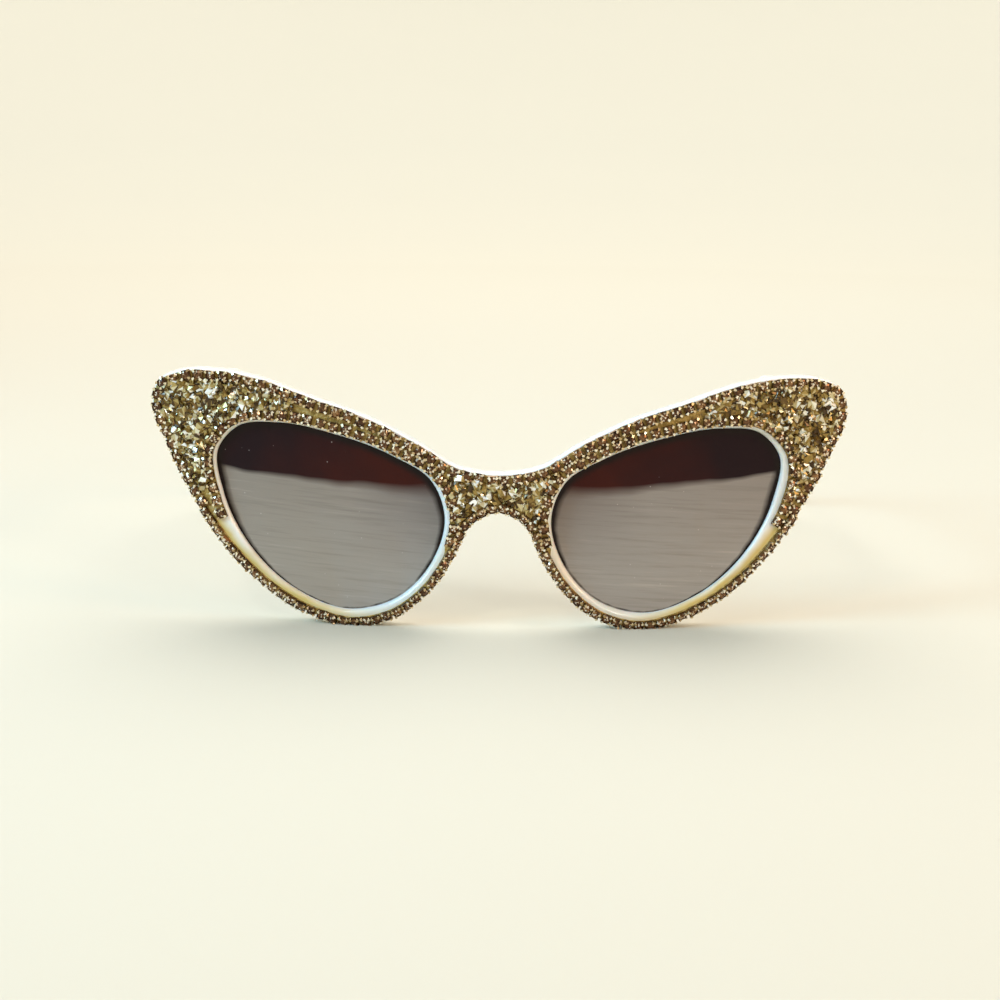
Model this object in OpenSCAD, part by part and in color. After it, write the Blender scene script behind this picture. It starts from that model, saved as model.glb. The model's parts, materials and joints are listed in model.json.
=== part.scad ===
// Cat eye sunglasses: a wrapped plastic front set with cup chains and crushed crystals,
// two lenses, and two temples that fold on three-and-two knuckle hinges.
// Millimetres, +Z up, the front faces -Y, and the wearer's left is +X.
// The glasses stand on the rims' lowest flats and the temple tips at Z = 0.

/* [Front] */
// Width of the front across the wing tips
front_width = 150.2; // [144:0.2:156]
// Height of the front from the rims' flats to the wing tops
front_height = 54.1; // [52:0.1:57]
// Thickness of the front
front_thickness = 4.5; // [4:0.1:5.5]
// Radius of the front's wrap round the face
wrap_radius = 230; // [200:5:300]

/* [Lens] */
// Thickness of a lens
lens_thickness = 2; // [1.6:0.1:2.2]
// Depth from the front face down to the lens
lens_recess = 1.2; // [0.9:0.1:1.5]
// How far the lens runs into its groove
groove_depth = 0.8; // [0.5:0.1:1]

/* [Cup chains] */
// Distance from cup to cup in the brow and eye chains
chain_pitch = 2.8; // [2.7:0.05:3]
// Width of a square cup in the brow and eye chains
cup_width = 2.2; // [2:0.05:2.25]
// Distance from cup to cup in the lower rim chain
rim_pitch = 2.4; // [2.3:0.05:2.6]
// Width of a square cup in the lower rim chain
rim_cup_width = 2; // [1.9:0.05:2.1]
// Height of a cup
cup_height = 1; // [0.8:0.05:1.2]

/* [Crystals] */
// Distance between crushed crystals
crystal_pitch = 2.35; // [2.2:0.05:2.8]
// Radius of a crushed crystal
crystal_radius = 0.95; // [0.7:0.05:1]
// Thickness of the glue film under the stones
glue_thickness = 0.25; // [0.2:0.05:0.4]

/* [Temples] */
// Distance from the hinge to the end of a temple, front to back
temple_reach = 128; // [120:1:135]
// Thickness of a temple
temple_thickness = 3.6; // [3.4:0.1:4]
// Height of a temple where it meets the front
temple_height = 9; // [8.6:0.1:9.4]

/* [Hinges] */
// Radius of the hinge barrel
barrel_radius = 1.5; // [1.4:0.05:1.5]
// Radius of the hinge screw's shaft
screw_radius = 0.6; // [0.5:0.05:0.7]
// Height of one knuckle
knuckle_height = 1.5; // [1.3:0.05:1.5]

/* [Hidden] */

$fn = 32;
eps = 0.01;
slip = 0.05;            // running clearance of pins, lenses and cores in their seats

// Outline of the wearer's left half of the front, from the bridge top round to the nose arch.
nominal_size = [150.2, 54.1];
front_points = [
    [0, 33.7], [8.5, 35], [17, 39.9], [27.5, 45], [40, 49.1], [52, 52.9], [61, 54.1],
    [69.1, 53.4], [73.9, 51], [75.1, 47.2], [71.8, 37.2], [65.8, 25.6], [57.9, 14.8],
    [49, 6.7], [40, 1.9], [31, -0.1], [22.3, 2], [14.3, 8.3], [9.2, 16.2], [5.7, 23], [0, 25.7]
];
// Outline of the lens aperture, from its lowest point round by the nose and the brow.
eye_points = [
    [31.7, 3.2], [22, 5.8], [14, 14.2], [11.4, 24.5], [14.3, 31.8], [22.5, 36.9],
    [35, 41.2], [47.3, 43.2], [56, 42], [60.4, 37], [59.4, 27.5], [53.1, 15.4], [43.6, 7.1]
];
curve_steps = 4;        // straight pieces between two points of an outline

chain_gap = 0.4;        // between the last brow cup and the first rim cup
cup_floor = 0.3;        // thickness of a cup's bottom
cup_wall = 0.15;
crown_height = 0.4;     // what a stone's crown stands above its cup

size_ratio = [front_width / nominal_size[0], front_height / nominal_size[1]];
relief = glue_thickness + cup_height + crown_height;   // what stands proud of the front face
hinge_depth = 20;                                  // front face's vertex to the hinge axis
front_y = -(hinge_depth + temple_reach - relief) / 2;
hinge_y = front_y + hinge_depth;
temple_x = front_width / 2 - 7.1;                  // middle plane of a temple
temple_in = temple_x - temple_thickness / 2;       // inner face of a temple
hinge_x = temple_in - barrel_radius - 0.1;         // hinge axis
hinge_z = front_height * 0.832;                    // middle height of the hinge
back_radius = wrap_radius - front_thickness;
wrap_y = front_y + wrap_radius;                    // centre of the wrap

knuckle_step = knuckle_height + 0.1;
leaf_height = 5 * knuckle_step - 0.1;
leaf_thickness = 0.8;
leaf_margin = 1.1;                                 // leaf beyond the tines and the barrel's middle
temple_leaf = [2.2, 14];                           // from and to, behind the hinge axis
pad_y = hinge_y - 4;                               // flat behind the wing that takes the hinge
tine_radius = 0.8;
tine_length = 2.5;
tine_x = hinge_x - 3.4;
seat_x = hinge_x - 5.1;                            // inner edge of that flat
web_width = 1.2;                                   // web between a front knuckle and its leaf
tine_z = 2;                                        // tine height above and below the hinge's middle
head_radius = 1.15;                                // screw's head
head_height = 0.6;
slot_width = 0.3;
rivet_radius = 0.6;
rivet_head = [1.1, 0.4];                           // radius and height
rivet_places = [5, 11];                            // behind the hinge axis
rivet_depth = 2.4;

brow_inset = 1.2;       // front's edge to the middle of the brow chain
rim_inset = 1.15;       // front's edge to the middle of the rim chain
eye_inset = 1.45;        // aperture's edge to the middle of the eye chain
brow_cups = 38;
eye_cups = 29;
eye_start = 35.4;       // from the aperture's lowest point to the first cup of the eye chain

// ---- curves ----

// Slope of a smooth curve at point b, from its neighbours a and c.
function slope(a, b, c) =
    let (u = norm(b - a), v = norm(c - b))
    ((b - a) * v / u + (c - b) * u / v) / (u + v);

// Point at t between p and q, whose slopes are m and n.
function between(p, q, m, n, t) =
    let (d = norm(q - p))
    (2 * t^3 - 3 * t^2 + 1) * p + (t^3 - 2 * t^2 + t) * d * m
    + (3 * t^2 - 2 * t^3) * q + (t^3 - t^2) * d * n;

// Smooth curve through all points of a closed list.
function closed_curve(points, steps) =
    let (n = len(points))
    [for (i = [0:n - 1], k = [0:steps - 1])
        let (
            a = points[(i + n - 1) % n], b = points[i],
            c = points[(i + 1) % n], d = points[(i + 2) % n]
        )
        between(b, c, slope(a, b, c), slope(b, c, d), k / steps)];

function mirrored(points) = [for (i = [len(points) - 2:-1:1]) [-points[i][0], points[i][1]]];
function sized(points) = [for (p = points) [p[0] * size_ratio[0], p[1] * size_ratio[1]]];
function part_of(list, first, last) = [for (i = [first:last]) list[i]];

// The curve moved sideways by d, to the right of its direction.
function shifted(curve, d) =
    [for (i = [0:len(curve) - 1])
        let (
            a = curve[max(i - 1, 0)], b = curve[min(i + 1, len(curve) - 1)],
            t = (b - a) / norm(b - a)
        )
        curve[i] + d * [t[1], -t[0]]];

// Length along the curve up to each of its points.
function lengths(curve) =
    [for (i = 0, s = 0; i < len(curve);
        s = s + (i + 1 < len(curve) ? norm(curve[i + 1] - curve[i]) : 0), i = i + 1) s];

// [x, z, direction] at distances from start, one pitch apart, along a curve.
function stations(curve, start, pitch, count) =
    let (
        run = lengths(curve),
        xs = [for (i = [0:len(curve) - 1]) [run[i], curve[i][0]]],
        zs = [for (i = [0:len(curve) - 1]) [run[i], curve[i][1]]]
    )
    [for (k = [0:count - 1])
        let (
            s = start + k * pitch,
            dx = lookup(s + 0.5, xs) - lookup(s - 0.5, xs),
            dz = lookup(s + 0.5, zs) - lookup(s - 0.5, zs)
        )
        [lookup(s, xs), lookup(s, zs), atan2(dz, dx)]];

front_all = closed_curve(concat(sized(front_points), mirrored(sized(front_points))), curve_steps);
front_half = part_of(front_all, 0, curve_steps * (len(front_points) - 1));
eye_all = closed_curve(sized(eye_points), curve_steps);

brow_path = shifted(front_half, brow_inset);
rim_path = shifted(front_half, rim_inset);
eye_path = shifted(concat(eye_all, [eye_all[0]]), -eye_inset);
brow_stations = stations(brow_path, chain_pitch / 2, chain_pitch, brow_cups);
// The rim chain fills the edge from the brow chain's end to the middle of the nose arch.
rim_start = (brow_cups - 0.5) * chain_pitch + cup_width / 2 + chain_gap;
rim_run = lengths(rim_path)[len(rim_path) - 1] - rim_start;
rim_cups = floor(rim_run / rim_pitch);
rim_step = rim_run / rim_cups;
rim_stations = stations(rim_path, rim_start + rim_step / 2, rim_step, rim_cups);
eye_stations = stations(eye_path, eye_start, chain_pitch, eye_cups);

// ---- crystals ----

// True where p lies inside a closed curve.
function inside(p, curve) =
    let (n = len(curve))
    len([for (i = [0:n - 1])
        let (a = curve[i], b = curve[(i + 1) % n])
        if ((a[1] > p[1]) != (b[1] > p[1])
            && p[0] < a[0] + (b[0] - a[0]) * (p[1] - a[1]) / (b[1] - a[1])) 1]) % 2 == 1;

function gap_to(p, curve) = min([for (q = curve) norm(q - p)]);

// Places on a staggered grid that keep clear of a list of cups.
crystal_clear = crystal_radius + cup_width * 0.72;
function crystal_places(low, high, keep_off) =
    [for (row = [0:floor((high[1] - low[1]) / (crystal_pitch * 0.87))],
          col = [0:floor((high[0] - low[0]) / crystal_pitch)])
        let (p = low + [(col + (row % 2) / 2) * crystal_pitch, row * crystal_pitch * 0.87])
        if (inside(p, front_half) && !inside(p, eye_all) && gap_to(p, keep_off) > crystal_clear) p];

cup_places = [for (s = concat(brow_stations, rim_stations, eye_stations)) [s[0], s[1]]];
bridge_cups = concat(cup_places, [for (p = cup_places) [-p[0], p[1]]]);
wing_places = crystal_places([34, 24], [74, 53], cup_places);
bridge_half = crystal_places([crystal_pitch / 2, 28], [16, 34], bridge_cups);

// ---- placing ----

module left_and_right_hand(side) {
    if (side == "left") children();
    else mirror([1, 0, 0]) children();
}

// Puts a child whose base is at Z = 0 on the wrapped front face at [x, z], turned by turn.
module on_front(x, z, turn, lift = 0) {
    translate([x, wrap_y - sqrt(wrap_radius^2 - x^2), z])
        rotate([0, 0, asin(x / wrap_radius)])
            rotate([90, 0, 0])
                translate([0, 0, lift])
                    rotate([0, 0, turn])
                        children();
}

// A shape of the front view carried from front to back.
module through(y0, y1) {
    translate([0, y1, 0]) rotate([90, 0, 0]) linear_extrude(y1 - y0) children();
}

// The space between two wrapped surfaces, deep1 and deep2 behind the front face.
module wrapped_slab(deep1, deep2) {
    translate([0, wrap_y, -5]) difference() {
        cylinder(h = front_height + 10, r = wrap_radius - deep1, $fn = 360);
        translate([0, 0, -1]) cylinder(h = front_height + 12, r = wrap_radius - deep2, $fn = 360);
    }
}

// The front view's shape, kept only between two wrapped surfaces.
module wrapped_plate(deep1, deep2) {
    intersection() {
        through(front_y - 5, front_y + 25) children();
        wrapped_slab(deep1, deep2);
    }
}

// ---- front ----

module wing_seats() {
    // flat that takes the hinge leaf
    translate([seat_x, front_y, hinge_z - temple_height / 2])
        cube([temple_in + 0.1 - seat_x, pad_y - front_y, temple_height]);
    // end piece that the temple butts against
    translate([temple_in + 0.1, front_y, hinge_z - temple_height / 2])
        cube([temple_thickness, hinge_depth, temple_height]);
}

// All that lies behind a surface just under the front face.
module behind_front_face() {
    translate([0, wrap_y, -5]) cylinder(h = front_height + 10, r = wrap_radius - 1, $fn = 360);
}

module eye_opening() {
    wrapped_plate(-3, front_thickness + 8) polygon(eye_all);
    wrapped_plate(lens_recess - slip, lens_recess + lens_thickness + slip)
        offset(delta = groove_depth + slip) polygon(eye_all);
}

module tine_holes() {
    for (s = [-1, 1]) translate([tine_x, pad_y + eps, hinge_z + s * tine_z])
        rotate([90, 0, 0]) cylinder(h = tine_length + 0.3, r = tine_radius + slip / 2);
}

module front_frame() {
    color("floralwhite") difference() {
        union() {
            wrapped_plate(0, front_thickness) polygon(front_all);
            for (side = ["left", "right"]) left_and_right_hand(side) intersection() {
                wing_seats();
                behind_front_face();
            }
        }
        for (side = ["left", "right"]) left_and_right_hand(side) {
            eye_opening();
            tine_holes();
        }
        // the rims' flats
        translate([-front_width, front_y - 5, -5]) cube([2 * front_width, 40, 5]);
    }
}

module lens() {
    color("dimgray") wrapped_plate(lens_recess, lens_recess + lens_thickness)
        offset(delta = groove_depth) polygon(eye_all);
}

// A blunt wedge between four balls, given as [x, behind the front face, z, radius].
pad_balls = [[9.4, 5.5, 22, 1.5], [12.9, 5.5, 13.2, 1.5], [10.2, 9.5, 20.5, 1.2], [13.6, 10.5, 13, 1.4]];

module nose_pad() {
    color("ivory") intersection() {
        hull() for (b = pad_balls) translate([b[0], front_y + b[1], b[2]]) sphere(r = b[3], $fn = 24);
        translate([0, wrap_y, 0]) cylinder(h = front_height, r = back_radius, $fn = 360);
    }
}

// ---- stones and glue ----

// Part of the rim that carries only its single chain.
bare_zone = [[0, -5], [0, 16.5], [12, 16.5], [13, 17.5], [56, 23.5], [80, 23.5], [80, -5]];

module glue_bed() {
    color("darkkhaki") intersection() {
        wrapped_plate(-glue_thickness, 0) difference() {
            offset(delta = -0.2) polygon(front_all);
            offset(delta = 0.6) polygon(eye_all);
            intersection() {
                offset(delta = -2.25) polygon(front_all);
                polygon(bare_zone);
            }
        }
        translate([0, front_y - 5, 0]) cube([front_width, 40, front_height + 5]);
    }
}

module cup(width) {
    difference() {
        translate([-width / 2, -width / 2, 0]) cube([width, width, cup_height]);
        translate([0, 0, cup_floor]) cylinder(h = cup_height, r = width / 2 - cup_wall);
    }
}

// A round girdle in the cup and a crown that narrows to its table.
module stone(width) {
    radius = width / 2 - cup_wall - slip;
    translate([0, 0, cup_floor]) cylinder(h = cup_height - cup_floor, r = radius);
    translate([0, 0, cup_height]) cylinder(h = crown_height, r1 = radius, r2 = 0.6 * radius);
}

module chain_row(places) {
    for (s = places) on_front(s[0], s[1], s[2], glue_thickness) children();
}

module brow_chain_cups() { color("darkgoldenrod") chain_row(brow_stations) cup(cup_width); }
module brow_chain_stones() { color("saddlebrown") chain_row(brow_stations) stone(cup_width); }
module rim_chain_cups() { color("darkgoldenrod") chain_row(rim_stations) cup(rim_cup_width); }
module rim_chain_stones() { color("peru") chain_row(rim_stations) stone(rim_cup_width); }
module eye_chain_cups() { color("darkgoldenrod") chain_row(eye_stations) cup(cup_width); }
module eye_chain_stones() { color("saddlebrown") chain_row(eye_stations) stone(cup_width); }

// Small blocks with five or six sides and heights that vary from place to place.
module crystals(places) {
    for (i = [0:len(places) - 1])
        on_front(places[i][0], places[i][1], (i * 47) % 360, glue_thickness)
            cylinder(h = 0.9 + 0.25 * (i * 7 % 3), r = crystal_radius, $fn = 5 + i % 2);
}

module wing_crystals() { color("khaki") crystals(wing_places); }
module bridge_crystals() {
    color("khaki") {
        crystals(bridge_half);
        mirror([1, 0, 0]) crystals(bridge_half);
    }
}

// ---- hinges ----

// Moves a child to the hinge axis at the bottom of one knuckle.
module at_knuckle(k) {
    translate([hinge_x, hinge_y, hinge_z - leaf_height / 2 + k * knuckle_step]) children();
}

module front_hinge() {
    color("goldenrod") difference() {
        union() {
            for (k = [0, 2, 4]) at_knuckle(k) {
                cylinder(h = knuckle_height, r = barrel_radius);
                translate([-web_width / 2, pad_y - hinge_y + leaf_thickness / 2, 0])
                    cube([web_width, hinge_y - pad_y - leaf_thickness / 2, knuckle_height]);
            }
            translate([tine_x - leaf_margin, pad_y, hinge_z - leaf_height / 2])
                cube([hinge_x - tine_x + 2 * leaf_margin, leaf_thickness, leaf_height]);
            for (s = [-1, 1]) translate([tine_x, pad_y + eps, hinge_z + s * tine_z])
                rotate([90, 0, 0]) cylinder(h = tine_length, r = tine_radius);
        }
        translate([hinge_x, hinge_y, hinge_z - leaf_height])
            cylinder(h = 2 * leaf_height, r = screw_radius + slip);
    }
}

module hinge_screw() {
    color("silver") translate([hinge_x, hinge_y, hinge_z]) {
        translate([0, 0, -leaf_height / 2]) cylinder(h = leaf_height, r = screw_radius);
        translate([0, 0, leaf_height / 2]) difference() {
            cylinder(h = head_height, r = head_radius);
            translate([-head_radius, -slot_width / 2, head_height / 2])
                cube([2 * head_radius, slot_width, head_height]);
        }
    }
}

module temple_hinge() {
    color("goldenrod") difference() {
        union() {
            for (k = [1, 3]) at_knuckle(k) {
                cylinder(h = knuckle_height, r = barrel_radius);
                translate([temple_in - leaf_thickness - hinge_x, 0, 0])
                    cube([leaf_thickness, temple_leaf[0] + 0.5, knuckle_height]);
            }
            translate([temple_in - leaf_thickness, hinge_y + temple_leaf[0], hinge_z - leaf_height / 2])
                cube([leaf_thickness, temple_leaf[1] - temple_leaf[0], leaf_height]);
        }
        translate([hinge_x, hinge_y, hinge_z - leaf_height])
            cylinder(h = 2 * leaf_height, r = screw_radius + slip);
        rivet_shanks(rivet_radius + slip / 2);
    }
}

module rivet_shanks(radius) {
    for (y = rivet_places) translate([temple_in - leaf_thickness - eps, hinge_y + y, hinge_z])
        rotate([0, 90, 0]) cylinder(h = leaf_thickness + rivet_depth, r = radius);
}

module temple_rivets() {
    color("silver") {
        rivet_shanks(rivet_radius);
        for (y = rivet_places)
            translate([temple_in - leaf_thickness - rivet_head[1], hinge_y + y, hinge_z])
                rotate([0, 90, 0]) cylinder(h = rivet_head[1], r = rivet_head[0]);
    }
}

// ---- temples ----

// Middle line of a temple from the side, as [behind the hinge, height, half height].
temple_line = [
    [0.1, hinge_z, temple_height / 2],
    [temple_reach * 0.22, hinge_z - 0.9, 3.6],
    [temple_reach * 0.46, hinge_z - 3.2, 2.9],
    [temple_reach * 0.66, hinge_z - 6.8, 2.7],
    [temple_reach * 0.79, hinge_z - 14, 2.8],
    [temple_reach * 0.89, hinge_z - 26, 3],
    [temple_reach - 3, 3, 3]
];

// Smooth open curve through points of any dimension.
function open_curve(points, steps) =
    let (n = len(points))
    concat([for (i = [0:n - 2], k = [0:steps - 1])
        let (
            b = points[i], c = points[i + 1],
            m = i == 0 ? (c - b) / norm(c - b) : slope(points[i - 1], b, c),
            q = i == n - 2 ? (c - b) / norm(c - b) : slope(b, c, points[i + 2])
        )
        between(b, c, m, q, k / steps)], [points[n - 1]]);

temple_mid = open_curve(temple_line, 5);
temple_flat = [for (p = temple_mid) [p[0], p[1]]];

// Side outline of a strip along the middle line, w(i) from it on each side, with a round end.
function strip(first, last, half) =
    let (
        line = part_of(temple_flat, first, last),
        h = [for (i = [first:last]) half < 0 ? temple_mid[i][2] : half],
        n = len(line),
        tail = line[n - 1] - line[n - 2],
        heading = atan2(tail[1], tail[0])
    )
    concat(
        [for (i = [0:n - 1]) shifted(line, h[i])[i]],
        [for (a = [-75:15:75]) line[n - 1] + h[n - 1] * [cos(heading + a), sin(heading + a)]],
        [for (i = [n - 1:-1:0]) shifted(line, -h[i])[i]]
    );

temple_side = strip(0, len(temple_mid) - 1, -1);
core_side = strip(5, len(temple_mid) - 3, 0.7);
core_slot = strip(5, len(temple_mid) - 3, 0.7 + slip);

// A side view's shape carried across, middle on the temple's middle plane.
module across(thickness) {
    translate([temple_x - thickness / 2, hinge_y, 0])
        rotate([90, 0, 90]) linear_extrude(thickness) children();
}

module temple() {
    color("floralwhite") difference() {
        across(temple_thickness) polygon(temple_side);
        across(1 + 2 * slip) polygon(core_slot);
        rivet_shanks(rivet_radius + slip / 2);
        // the flat under the tip, and the square front end
        translate([0, 0, -10]) cube([front_width, 2 * temple_reach, 10]);
        translate([0, hinge_y - 10 + 2 * slip, 0]) cube([front_width, 10, 2 * front_height]);
    }
}

module temple_core() { color("silver") across(1) polygon(core_side); }

// ---- what is drawn ----

front_frame();
lens();  // lens_left
mirror([1, 0, 0]) lens();  // lens_right
nose_pad();  // nose_pad_left
mirror([1, 0, 0]) nose_pad();  // nose_pad_right
glue_bed();  // glue_bed_left
mirror([1, 0, 0]) glue_bed();  // glue_bed_right
brow_chain_cups();  // brow_chain_cups_left
mirror([1, 0, 0]) brow_chain_cups();  // brow_chain_cups_right
brow_chain_stones();  // brow_chain_stones_left
mirror([1, 0, 0]) brow_chain_stones();  // brow_chain_stones_right
rim_chain_cups();  // rim_chain_cups_left
mirror([1, 0, 0]) rim_chain_cups();  // rim_chain_cups_right
rim_chain_stones();  // rim_chain_stones_left
mirror([1, 0, 0]) rim_chain_stones();  // rim_chain_stones_right
eye_chain_cups();  // eye_chain_cups_left
mirror([1, 0, 0]) eye_chain_cups();  // eye_chain_cups_right
eye_chain_stones();  // eye_chain_stones_left
mirror([1, 0, 0]) eye_chain_stones();  // eye_chain_stones_right
wing_crystals();  // wing_crystals_left
mirror([1, 0, 0]) wing_crystals();  // wing_crystals_right
bridge_crystals();
front_hinge();  // front_hinge_left
mirror([1, 0, 0]) front_hinge();  // front_hinge_right
hinge_screw();  // hinge_screw_left
mirror([1, 0, 0]) hinge_screw();  // hinge_screw_right
temple();  // temple_left
mirror([1, 0, 0]) temple();  // temple_right
temple_core();  // temple_core_left
mirror([1, 0, 0]) temple_core();  // temple_core_right
temple_hinge();  // temple_hinge_left
mirror([1, 0, 0]) temple_hinge();  // temple_hinge_right
temple_rivets();  // temple_rivets_left
mirror([1, 0, 0]) temple_rivets();  // temple_rivets_right
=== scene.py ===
import json
from math import radians

import bmesh
import bpy
import numpy as np
from mathutils import Matrix, Vector


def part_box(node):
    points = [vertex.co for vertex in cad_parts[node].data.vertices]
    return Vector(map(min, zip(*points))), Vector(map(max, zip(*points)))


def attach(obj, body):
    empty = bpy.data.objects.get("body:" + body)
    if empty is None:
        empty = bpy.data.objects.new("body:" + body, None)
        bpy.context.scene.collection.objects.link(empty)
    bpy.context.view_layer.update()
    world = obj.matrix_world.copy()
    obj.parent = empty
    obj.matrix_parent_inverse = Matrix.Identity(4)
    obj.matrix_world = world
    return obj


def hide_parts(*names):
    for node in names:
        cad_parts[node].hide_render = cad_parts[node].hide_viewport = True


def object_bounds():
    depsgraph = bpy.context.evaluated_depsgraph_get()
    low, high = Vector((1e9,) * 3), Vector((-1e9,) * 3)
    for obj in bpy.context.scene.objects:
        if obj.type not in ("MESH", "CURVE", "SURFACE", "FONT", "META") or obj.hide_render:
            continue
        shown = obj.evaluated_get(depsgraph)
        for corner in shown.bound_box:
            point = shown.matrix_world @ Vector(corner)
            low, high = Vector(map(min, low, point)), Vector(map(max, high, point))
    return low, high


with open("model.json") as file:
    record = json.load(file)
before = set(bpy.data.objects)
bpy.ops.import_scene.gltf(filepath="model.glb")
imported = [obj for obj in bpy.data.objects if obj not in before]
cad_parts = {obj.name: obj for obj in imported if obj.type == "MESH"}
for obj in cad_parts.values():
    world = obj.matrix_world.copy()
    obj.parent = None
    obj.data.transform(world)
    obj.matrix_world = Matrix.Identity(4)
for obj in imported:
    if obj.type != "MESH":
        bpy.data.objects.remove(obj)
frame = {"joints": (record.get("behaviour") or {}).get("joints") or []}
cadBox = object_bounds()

mm = 0.001
rng = np.random.default_rng(58)
frontLow, frontHigh = [np.array(v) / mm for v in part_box("front_frame")]

# where things are, in millimetres

front = {
    # front outline of one half, bridge top round the wing to the nose arch
    "outline": [
        (0, 33.7), (8.5, 35), (17, 39.9), (27.5, 45), (40, 49.1), (52, 52.9), (61, 54.1),
        (69.1, 53.4), (73.9, 51), (75.1, 47.2), (71.8, 37.2), (65.8, 25.6), (57.9, 14.8),
        (49, 6.7), (40, 1.9), (31, -0.1), (22.3, 2), (14.3, 8.3), (9.2, 16.2), (5.7, 23), (0, 25.7),
    ],
    # lens aperture, lowest point round by the nose and the brow
    "aperture": [
        (31.7, 3.2), (22, 5.8), (14, 14.2), (11.4, 24.5), (14.3, 31.8), (22.5, 36.9),
        (35, 41.2), (47.3, 43.2), (56, 42), (60.4, 37), (59.4, 27.5), (53.1, 15.4), (43.6, 7.1),
    ],
    "drawnAt": (150.2, 54.1),   # width and height the two outlines were drawn at
    "outlineSteps": 16, "outlineSamples": 241, "apertureSteps": 24,
    "eyeCentre": (36, 25),
    "thickness": 4.5,
    "wrapRadius": 230.0,
    "outerRound": 0.9,          # roundness of the front's outer edges
    "eyeRound": 1.1,            # roundness of the aperture's front edge
    "backRound": 0.6,
    "lensRecess": 1.2,
    "lensThickness": 2.0,
    "groove": 0.8, "grooveSlip": 0.05,
    "faceSteps": 15, "lensSteps": 24,
}

frontY = frontLow[1]
wrapY = frontY + front["wrapRadius"]
stretch = np.array([
    (frontHigh[0] - frontLow[0]) / front["drawnAt"][0],
    frontHigh[2] / front["drawnAt"][1],
])


# slope at b of a smooth curve through a, b and c: chord slopes, each weighted by the other's length
def slopeAt(a, b, c):
    u = np.linalg.norm(b - a, axis=-1, keepdims=True)
    v = np.linalg.norm(c - b, axis=-1, keepdims=True)
    return ((b - a) * v / u + (c - b) * u / v) / (u + v)


# cubic Hermite pieces between neighbouring points, steps samples each
def hermite(p, q, m, n, steps):
    t = (np.arange(steps) / steps)[None, :, None]
    d = np.linalg.norm(q - p, axis=-1)[:, None, None]
    p, q, m, n = [a[:, None, :] for a in (p, q, m, n)]
    body = (2 * t**3 - 3 * t**2 + 1) * p + (t**3 - 2 * t**2 + t) * d * m
    body = body + (3 * t**2 - 2 * t**3) * q + (t**3 - t**2) * d * n
    return body.reshape(-1, p.shape[-1])


# a smooth closed curve through the points, steps samples between each two
def closedCurve(points, steps):
    p = np.asarray(points, float)
    m = slopeAt(np.roll(p, 1, 0), p, np.roll(p, -1, 0))
    return hermite(p, np.roll(p, -1, 0), m, np.roll(m, -1, 0), steps)


# the same for an open curve, whose ends leave along their first and last chords
def openCurve(points, steps):
    p = np.asarray(points, float)
    m = np.empty_like(p)
    m[1:-1] = slopeAt(p[:-2], p[1:-1], p[2:])
    m[0] = (p[1] - p[0]) / np.linalg.norm(p[1] - p[0])
    m[-1] = (p[-1] - p[-2]) / np.linalg.norm(p[-1] - p[-2])
    return np.vstack([hermite(p[:-1], p[1:], m[:-1], m[1:], steps), p[-1:]])


# length run at each point of a curve: the sum of the chords before it
def runOf(curve):
    return np.concatenate([[0], np.cumsum(np.linalg.norm(np.diff(curve, axis=0), axis=1))])


# the curve resampled at given lengths along it
def atLengths(curve, s):
    run = runOf(curve)
    return np.stack([np.interp(s, run, curve[:, k]) for k in range(curve.shape[1])], 1)


# count points at equal lengths along a curve
def evenly(curve, count):
    return atLengths(curve, np.linspace(0, runOf(curve)[-1], count))


# unit normals to the right of a curve: its direction turned by a quarter
def normalsOf(curve, closed=False):
    if closed:
        t = np.roll(curve, -1, 0) - np.roll(curve, 1, 0)
    else:
        t = np.gradient(curve, axis=0)
    t = t / np.linalg.norm(t, axis=1, keepdims=True)
    return np.stack([t[:, 1], -t[:, 0]], 1)


# points (across, up) placed at a depth behind the front face along the wrap's radius
def onWrap(points, depth):
    x, z = points[..., 0], points[..., 1]
    r = front["wrapRadius"] - depth
    return np.stack(np.broadcast_arrays(x, wrapY - np.sqrt(r * r - x * x), z), -1)


fullOutline = np.array(front["outline"]) * stretch
mirrorPart = fullOutline[-2:0:-1] * [-1, 1]
wholeOutline = closedCurve(np.vstack([fullOutline, mirrorPart]), front["outlineSteps"])
halfCount = front["outlineSteps"] * (len(fullOutline) - 1) + 1
halfOutline = evenly(wholeOutline[:halfCount], front["outlineSamples"])
# both sets of normals point into the plastic; the half outline's ends stay on the middle plane
halfNormals = normalsOf(halfOutline)
halfNormals[0] = (0, -1)
halfNormals[-1] = (0, 1)
aperture = closedCurve(np.array(front["aperture"]) * stretch, front["apertureSteps"])
apertureNormals = -normalsOf(aperture, closed=True)
eyeCentre = np.array(front["eyeCentre"]) * stretch


# the half outline moved d into the plastic
def fromOutline(d):
    return halfOutline + halfNormals * d


# the aperture's edge moved d into the plastic
def fromAperture(d):
    return aperture + apertureNormals * d


# extra width of the bare lip at points beside a lens: a bell round one spot, in mm
def lipAt(points, lip):
    away = (points - np.array(lip["spot"])) / np.array(lip["reach"])
    return lip["extra"] * np.exp(-(away**2).sum(-1, keepdims=True))


# the point of a closed curve round the eye that lies in the same direction as each given point
def facing(curve, points):
    # direction seen from the eye's centre
    def angle(p):
        return np.arctan2(p[:, 1] - eyeCentre[1], p[:, 0] - eyeCentre[0])

    a = angle(curve)
    order = np.argsort(a)
    return np.stack([
        np.interp(angle(points), a[order], curve[order, k], period=2 * np.pi) for k in (0, 1)
    ], 1)


# smallest distance from each point to a polyline's samples
def clearance(points, path):
    return np.sqrt(((points[:, None] - path[None]) ** 2).sum(-1)).min(1)


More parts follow.
